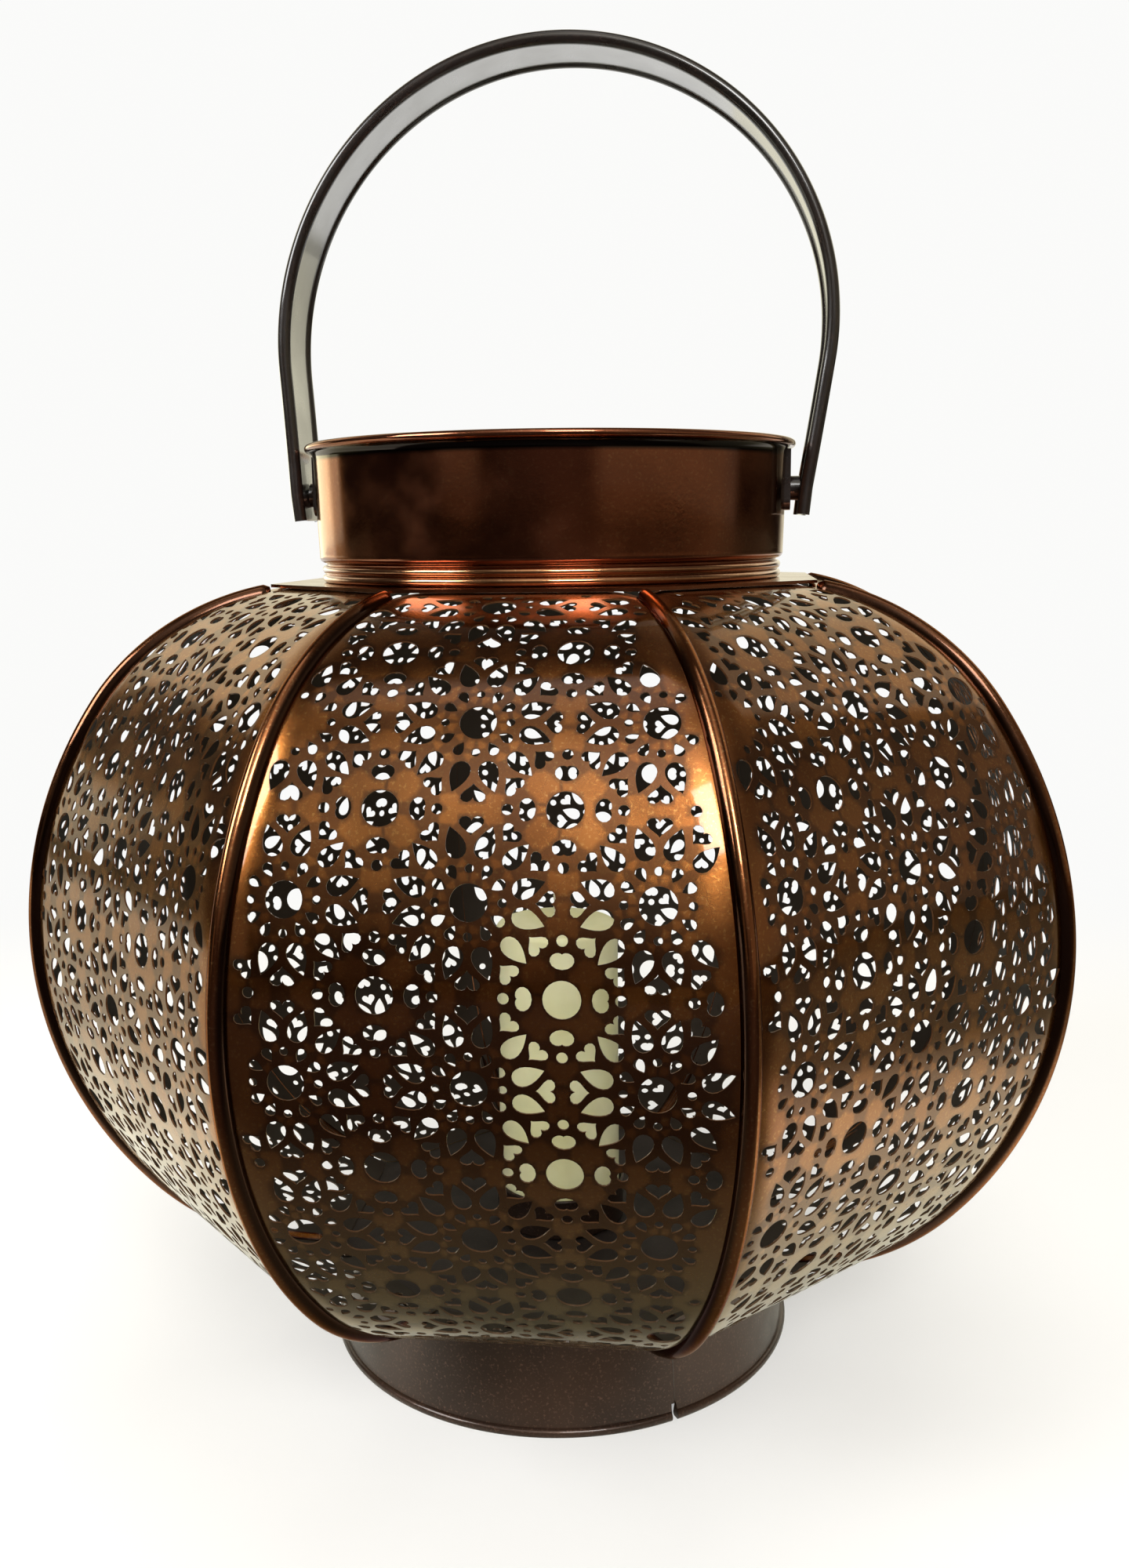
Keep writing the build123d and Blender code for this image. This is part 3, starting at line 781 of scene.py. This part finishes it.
# Shoulder ring
# A flat tin ring, eight-sided outside and round inside, that joins the panels' upper ends to the collar.
# It is soldered to both and lacquered like the collar.
collar_lacquer = lacquer("collar_lacquer", (0.335, 0.113, 0.052), (0.30, 0.099, 0.046), (0.50, 0.26, 0.13),
                         gloss=0.16, metallic=1.0, coat=0.5, cloud_scale=18, wave=0.03,
                         grazing_tint=(0.80, 0.74, 0.60))
dress("shoulder_ring", collar_lacquer)

# Collar
# A slightly flared tin tube, drawn in at its foot, with its upper edge turned out and hemmed to a round rim.
# It is soldered on the shoulder ring, and painted shade darkens the crease under its rim.
collar_low, collar_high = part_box("collar")
collar_neck = 0.0606
collar_foot = 0.0624
collar_head = 0.0632
collar_neck_height = 0.0047
collar_start = collar_low.z + collar_neck_height
neck_margins = (0.0005, 0.0002)
wall_margins = (0.0004, 0.0020)
neck_curve = 0.0004
foot_curve = 0.0014
mouth_curve = 0.0008
rim_thick = 0.0020
rim_round = rim_thick / 2
rim_cove = np.array((0.0011, 0.0020))
rim_cove_start = np.array((collar_head, collar_high.z - rim_thick - rim_cove[1]))
foot_curve_top = collar_start + neck_curve + foot_curve
collar_profile = joined(
    line((collar_neck - tin, collar_low.z), (collar_neck, collar_low.z), 3),
    line((collar_neck, collar_low.z + neck_margins[0]), (collar_neck, collar_start - neck_margins[1]), 4),
    arc((collar_neck + neck_curve, collar_start), neck_curve, 180, 90, 4),
    arc((collar_foot - foot_curve, foot_curve_top), foot_curve, -90, 0, 8),
    line((collar_foot, foot_curve_top + wall_margins[0]), rim_cove_start, 30),
    arc((1, 0), 1, 180, 90, 10) * rim_cove + rim_cove_start,
    arc((collar_high.x - rim_round, collar_high.z - rim_round), rim_round, -90, 90, 11),
    arc((collar_head - tin + mouth_curve, collar_high.z - mouth_curve), mouth_curve, 90, 180, 7),
    line((collar_head - tin, collar_high.z - wall_margins[1]), (collar_neck - tin, collar_start), 30),
)
collar_points = turned(collar_profile, ring(288))
# painted shade: the crease under the rim darkened to near-black
blended(collar_lacquer, marked(collar_lacquer, "rim_shade"), (0.012, 0.006, 0.004))
collar = make_piece("collar_tube", collar_points, grid_faces(collar_points), "lantern",
                    "collar", collar_lacquer)
collar_radius, collar_rise = collar_profile.T
slack = 1e-6
# points of the wall under the rim, which take the painted shade
shaded_under_rim = (collar_radius > collar_head - slack) & (collar_rise < collar_high.z - rim_thick + slack)
mark(collar, "rim_shade", "POINT", np.tile(shaded_under_rim.astype(float), len(collar_points)))

# Neck band
# Two half-round beads rolled in one strip of tin, soldered round the foot of the collar.
# Its lacquer is thinner than the collar's, so the metal shows brighter.
band_low, band_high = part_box("neck_band")
bead = (band_high.z - band_low.z) / 4
band_gap = 0.0001
band_depth = 0.0008
band_middle = collar_neck + band_gap
band_back = band_middle - band_depth
band_back_margin = 0.0004
band_profile = joined(
    arc((band_middle, band_low.z + bead), bead, -100, 80, 16),
    arc((band_middle, band_high.z - bead), bead, -80, 100, 16),
    line((band_back, band_high.z - band_back_margin), (band_back, band_low.z + band_back_margin), 4),
)
band_points = turned(band_profile, ring(288))
bead_lacquer = lacquer("bead_lacquer", (0.46, 0.215, 0.095), (0.34, 0.150, 0.065), (0.75, 0.50, 0.28),
                       gloss=0.15, metallic=1.0, coat=0.8)
make_piece("neck_beads", band_points, grid_faces(band_points), "lantern", "neck_band",
           bead_lacquer)

# Lugs and spacers
# Small tin plates soldered to the collar under its rim, and short bushes that hold the handle off them.
# Both have the handle's near-black lacquer.
handle_lacquer = lacquer("handle_lacquer", (0.009, 0.005, 0.004), (0.004, 0.003, 0.002), (0.03, 0.015, 0.01),
                         gloss=0.3, metallic=0.0, coat=1.0, wave=0.3)
for node in ("lug_right", "lug_left", "pivot_spacer_right", "pivot_spacer_left"):
    dress(node, handle_lacquer)

# Pivot rivets
# Tin rivets through collar, lug, bush and handle, the handle's pivots.
# Each has a domed head outside the handle and a flat one inside the collar.
rivet_shank = 0.0016
rivet_head_thick = 0.001
rivet_edge = 0.0003
rivet_dome = 0.0008
rivet_tail_flat = 0.8
for side, outward in (("right", 1), ("left", -1)):
    rivet_low, rivet_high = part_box(f"pivot_rivet_{side}")
    tip = max(abs(rivet_low.x), abs(rivet_high.x))
    tail = min(abs(rivet_low.x), abs(rivet_high.x))
    head = rivet_high.y
    tail_top = tail + rivet_head_thick
    head_seat = tip - rivet_head_thick
    rivet_profile = joined(
        np.array(((pole, tail), (head * rivet_tail_flat, tail), (head, tail + rivet_edge), (head, tail_top))),
        np.array(((rivet_shank, tail_top), (rivet_shank, head_seat), (head, head_seat))),
        np.maximum(arc((0, 0), 1, 0, 90, 10) * (head, rivet_dome) + (0, tip - rivet_dome), (pole, 0)),
    )
    upright = turned(rivet_profile, ring(40))
    middle = (rivet_low.z + rivet_high.z) / 2
    rivet_points = upright[..., ::-1] * (outward, outward, 1) + (0, 0, middle)
    rivet_faces = [face[::-1] for face in grid_faces(upright, open_columns=True)]
    make_piece(f"rivet_{side}", rivet_points, rivet_faces, "lantern", f"pivot_rivet_{side}",
               handle_lacquer)

# Handle
# A bail bent from tin strip with both edges hemmed round, leaning a little to one side, with square-cut ends
# below its pivots. It is lacquered near-black outside and on the hems, and its inner face is bare grey tin.
handle_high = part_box("handle")[1]
pivot_rise = frame["joints"][0]["pos_m"][2]
hem = 0.0013
hem_round = 0.0017
hem_lift = hem_round - hem
hem_count = 22
web = 0.00055
web_count = 9
end_below_pivot = 0.007
handle_lean = 0.0037
leg_draw_in = 0.0038
web_in_hem = 0.95
arch_radius = handle_high.x - hem
arch_rise = handle_high.z - handle_high.x
leg_offset = arch_radius - leg_draw_in
leg_lean = np.arcsin(arch_radius / np.hypot(leg_offset, arch_rise - pivot_rise))
leg_lean -= np.arctan2(leg_offset, arch_rise - pivot_rise)
leg_way = np.array((np.sin(leg_lean), np.cos(leg_lean)))
leg_end = np.array((leg_offset, pivot_rise)) - end_below_pivot * leg_way
leg_top = np.array((arch_radius * np.cos(leg_lean), arch_rise - arch_radius * np.sin(leg_lean)))
right_leg = line(leg_end, leg_top, 30)[:-1]
handle_line = np.concatenate([
    right_leg,
    arc((0, arch_rise), arch_radius, -np.degrees(leg_lean), 180 + np.degrees(leg_lean), 180),
    right_leg[::-1] * (-1, 1),
])
above_pivot = np.clip((handle_line[:, 1] - pivot_rise) / (handle_high.z - pivot_rise), 0, 1)
handle_line[:, 0] += handle_lean * (1 - (1 - above_pivot) ** 2)
hem_middle = handle_high.y - hem_round
inner_join = np.degrees(np.arcsin((web + hem_lift) / hem_round))
outer_join = np.degrees(np.arcsin((web - hem_lift) / hem_round))
web_reach = hem_middle - web_in_hem * hem_round
handle_section = np.concatenate([
    arc((hem_middle, hem_lift), hem_round, inner_join - 180, 180 - outer_join, hem_count),
    line((web_reach, web), (-web_reach, web), web_count)[1:-1],
    arc((-hem_middle, hem_lift), hem_round, outer_join, 360 - inner_join, hem_count),
    line((-web_reach, -web), (web_reach, -web), web_count)[1:-1],
])
handle_points = carried(handle_line, handle_section[:, 0], handle_section[:, 1])
bail_lacquer = handle_lacquer.copy()
bail_lacquer.name = "bail_lacquer"
bare = marked(bail_lacquer, "bare")
blended(bail_lacquer, bare, (0.34, 0.33, 0.31))
feed(bail_lacquer.node_tree.nodes["Principled BSDF"].inputs["Metallic"], bare)
bail = make_piece("bail", handle_points, grid_faces(handle_points, open_rows=True), "handle",
                  "handle", bail_lacquer)
second_hem_end = 2 * hem_count + (web_count - 2) - 1
bare_sides = np.arange(len(handle_section)) >= second_hem_end
mark(bail, "bare", "FACE", np.append(np.tile(bare_sides.astype(float), len(handle_line) - 1), (0.0, 0.0)))

# Studio
# A pale floor and a white backdrop, with large soft lights from the left, the right, above and in front.
# Mirror rays see a floor and walls in plain patches of tone, pale behind the lantern and dim before it, which
# give the metal its light and dark bands.
white = (0.96, 0.96, 0.95)


def product(*shares):
    """Several shares multiplied together."""
    result = shares[0]
    for share in shares[1:]:
        result = worked_out("MULTIPLY", result, share)
    return result


def left_over(share, most):
    """One less most of a share."""
    return worked_out("SUBTRACT", 1.0, worked_out("MULTIPLY", share, most))


floor_material, floor_place, floor_shader = new_material("floor")
floor_tree = floor_material.node_tree
floor_parts = add_node(floor_tree, "ShaderNodeSeparateXYZ", {"Vector": floor_place}).outputs
floor_x, floor_y = floor_parts["X"], floor_parts["Y"]
floor_ray = add_node(floor_tree, "ShaderNodeLightPath").outputs
pale_front = worked_out("ADD", floor_y, worked_out("MULTIPLY", worked_out("ABSOLUTE", floor_x), 0.35))
dip = product(eased(floor_x, -0.15, -0.40), eased(floor_x, -1.2, -0.75))
pale_floor = product(eased(pale_front, -0.09, -0.03), eased(floor_x, 0.37, 0.21), left_over(dip, 0.48),
                     eased(floor_x, -2.2, -1.5))
far_front = product(eased(floor_y, -0.9, -2.0), eased(floor_x, 0.0, 0.6))
front_floor = mixed(far_front, (0.024, 0.018, 0.017), (0.13, 0.09, 0.065))
near_floor = mixed(eased(floor_y, -0.28, -0.10), front_floor, (0.15, 0.15, 0.115))
mirrored_floor = mixed(pale_floor, near_floor, (0.86, 0.87, 0.78))
feed(floor_shader["Base Color"], mixed(floor_ray["Is Glossy Ray"], (0.90, 0.89, 0.86), mirrored_floor))
feed(floor_shader["Roughness"], 0.9)
feed(floor_shader["Specular IOR Level"], 0.1)
away = add_node(floor_tree, "ShaderNodeVectorMath", {0: floor_place}, operation="LENGTH").outputs["Value"]
fade = product(worked_out("MAXIMUM", eased(away, 0.16, 0.6), 0.4), floor_ray["Is Camera Ray"])
slant = worked_out("ADD", floor_y, worked_out("MULTIPLY", floor_x, 0.65))
mirrored_fade = product(eased(floor_y, 0.25, 0.6), eased(floor_x, 1.5, 0.9), eased(slant, -0.45, 0.05),
                        floor_ray["Is Glossy Ray"])
far_white = add_node(floor_tree, "ShaderNodeEmission", {"Color": white}).outputs["Emission"]
faded = add_node(floor_tree, "ShaderNodeMixShader", {
    "Fac": worked_out("MAXIMUM", fade, mirrored_fade),
    1: floor_tree.nodes["Principled BSDF"].outputs["BSDF"],
    2: far_white,
})
feed(floor_tree.nodes["Material Output"].inputs["Surface"], faded.outputs["Shader"])
floor_half = 6
floor_mesh = bpy.data.meshes.new("floor")
floor_corners = floor_half * np.array(((-1, -1, 0), (1, -1, 0), (1, 1, 0), (-1, 1, 0)))
floor_mesh.from_pydata(floor_corners.tolist(), [], [(0, 1, 2, 3)])
floor_mesh.materials.append(floor_material)
floor = bpy.data.objects.new("floor", floor_mesh)
bpy.context.scene.collection.objects.link(floor)

world = bpy.data.worlds.new("studio")
bpy.context.scene.world = world
world.use_nodes = True
sky = world.node_tree
looking = add_node(sky, "ShaderNodeTexCoord").outputs["Generated"]
upwards = add_node(sky, "ShaderNodeSeparateXYZ", {"Vector": looking}).outputs["Z"]
flat = add_node(sky, "ShaderNodeVectorMath", {0: looking, 1: (1, 1, 0)}, operation="MULTIPLY")
level = add_node(sky, "ShaderNodeVectorMath", {0: flat.outputs["Vector"]}, operation="NORMALIZE")
level_parts = add_node(sky, "ShaderNodeSeparateXYZ", {"Vector": level.outputs["Vector"]}).outputs
sideways, ahead = level_parts["X"], level_parts["Y"]

front_tones = ramp(upwards, (0.0, (0.050, 0.036, 0.030)), (0.12, (0.055, 0.043, 0.037)),
                   (0.45, (0.32, 0.28, 0.22)), (0.76, (1.0, 0.94, 0.82)), (0.9, (0.50, 0.44, 0.35)),
                   (1.0, (1.0, 1.0, 1.0)))
brighter = worked_out("ADD", 0.2, worked_out("MULTIPLY", eased(sideways, -0.6, 0.10), 1.5))
brighter = worked_out("SUBTRACT", brighter, eased(sideways, 0.25, 0.7))
below_top = eased(upwards, 0.97, 0.85)
brighter = worked_out("ADD", worked_out("MULTIPLY", brighter, below_top), left_over(below_top, 1.0))
front_wall = add_node(sky, "ShaderNodeVectorMath", {0: front_tones, "Scale": brighter}, operation="SCALE")
right_wall = mixed(eased(upwards, 0.25, 0.5), (0.22, 0.20, 0.16), (0.10, 0.085, 0.07))
left_wall = mixed(eased(upwards, 0.06, 0.14), (0.018, 0.014, 0.012), (0.06, 0.048, 0.04))
side_walls = mixed(eased(sideways, -0.3, 0.3), left_wall, right_wall)
walls_round = mixed(eased(ahead, -0.1, -0.7), side_walls, front_wall.outputs["Vector"])
right_patch = product(eased(sideways, 0.42, 0.54), eased(ahead, 0.16, 0.06), eased(upwards, 0.4, 0.15))
walls_round = mixed(right_patch, walls_round, (0.30, 0.25, 0.17))
left_strip = product(eased(sideways, -0.76, -0.66), eased(sideways, -0.38, -0.50), eased(ahead, -0.2, -0.4),
                     eased(upwards, 0.3, 0.1))
walls_round = mixed(left_strip, walls_round, (0.20, 0.16, 0.11))
dark_band = product(eased(upwards, 0.08, 0.16), eased(upwards, 0.41, 0.32), eased(ahead, 0.66, 0.52))
backdrop = product(eased(ahead, 0.34, 0.41), eased(upwards, 0.95, 0.42), left_over(dark_band, 1.0))
bright_patch = product(eased(sideways, -0.40, -0.50), eased(ahead, 0.50, 0.60), eased(upwards, 0.14, 0.08))
walls_round = mixed(backdrop, walls_round, mixed(bright_patch, (0.98, 0.94, 0.74), (2.6, 2.5, 1.9)))
dark_corner = product(eased(sideways, 0.25, 0.45), eased(ahead, 0.18, 0.32), eased(upwards, 0.17, 0.09))
walls_round = mixed(dark_corner, walls_round, (0.020, 0.013, 0.011))
sky_ray = add_node(sky, "ShaderNodeLightPath").outputs
straight = worked_out("MAXIMUM", sky_ray["Is Camera Ray"], sky_ray["Is Transmission Ray"])
feed(sky.nodes["Background"].inputs["Color"], mixed(straight, walls_round, white))


def soft_light(name, place, aim, width, height, power, mirrored=True):
    """Oblong area light at a place, turned to look at a point, and seen in the metal or not."""
    data = bpy.data.lights.new(name, "AREA")
    data.shape = "RECTANGLE"
    data.size = width
    data.size_y = height
    data.energy = power
    light = bpy.data.objects.new(name, data)
    light.visible_glossy = mirrored
    bpy.context.scene.collection.objects.link(light)
    towards = Vector(aim) - Vector(place)
    light.matrix_world = Matrix.Translation(place) @ towards.to_track_quat("-Z", "Y").to_matrix().to_4x4()


soft_light("left", (-1.06, -0.75, 0.91), (-0.05, -0.12, 0.17), 0.66, 0.62, 13.0)
soft_light("right", (0.39, -1.28, 1.06), (0.05, -0.13, 0.17), 0.52, 0.45, 9.5)
soft_light("top", (0.1, 0.3, 1.6), (0, 0, 0.1), 1.2, 1.2, 12, mirrored=False)
soft_light("fill", (0.2, -1.3, 0.5), (0, 0, 0.1), 0.9, 0.9, 14, mirrored=False)

# Camera
# Close in front, a little to the right and looking down, as the photograph was taken.
# Its lens comes from the focal length in pixels that fits the photograph, and its angles are in degrees.
photo_height = 2000
focal_pixels = 1796.2
sensor = 36
camera_distance = 0.390
camera_height = 0.2282
camera_round = 7.01
camera_turn = -0.40
camera_dip = 10.23
camera_roll = -0.72
camera_data = bpy.data.cameras.new("camera")
camera_data.sensor_fit = "VERTICAL"
camera_data.sensor_height = sensor
camera_data.lens = sensor * focal_pixels / photo_height
camera_data.clip_start = 0.01
camera = bpy.data.objects.new("camera", camera_data)
bpy.context.scene.collection.objects.link(camera)
camera.matrix_world = (
    Matrix.Rotation(np.radians(camera_round), 4, "Z")
    @ Matrix.Translation((0, -camera_distance, camera_height))
    @ Matrix.Rotation(np.radians(camera_turn), 4, "Z")
    @ Matrix.Rotation(np.radians(90 - camera_dip), 4, "X")
    @ Matrix.Rotation(np.radians(camera_roll), 4, "Z")
)
bpy.context.scene.camera = camera
bpy.context.scene.view_settings.view_transform = "Standard"
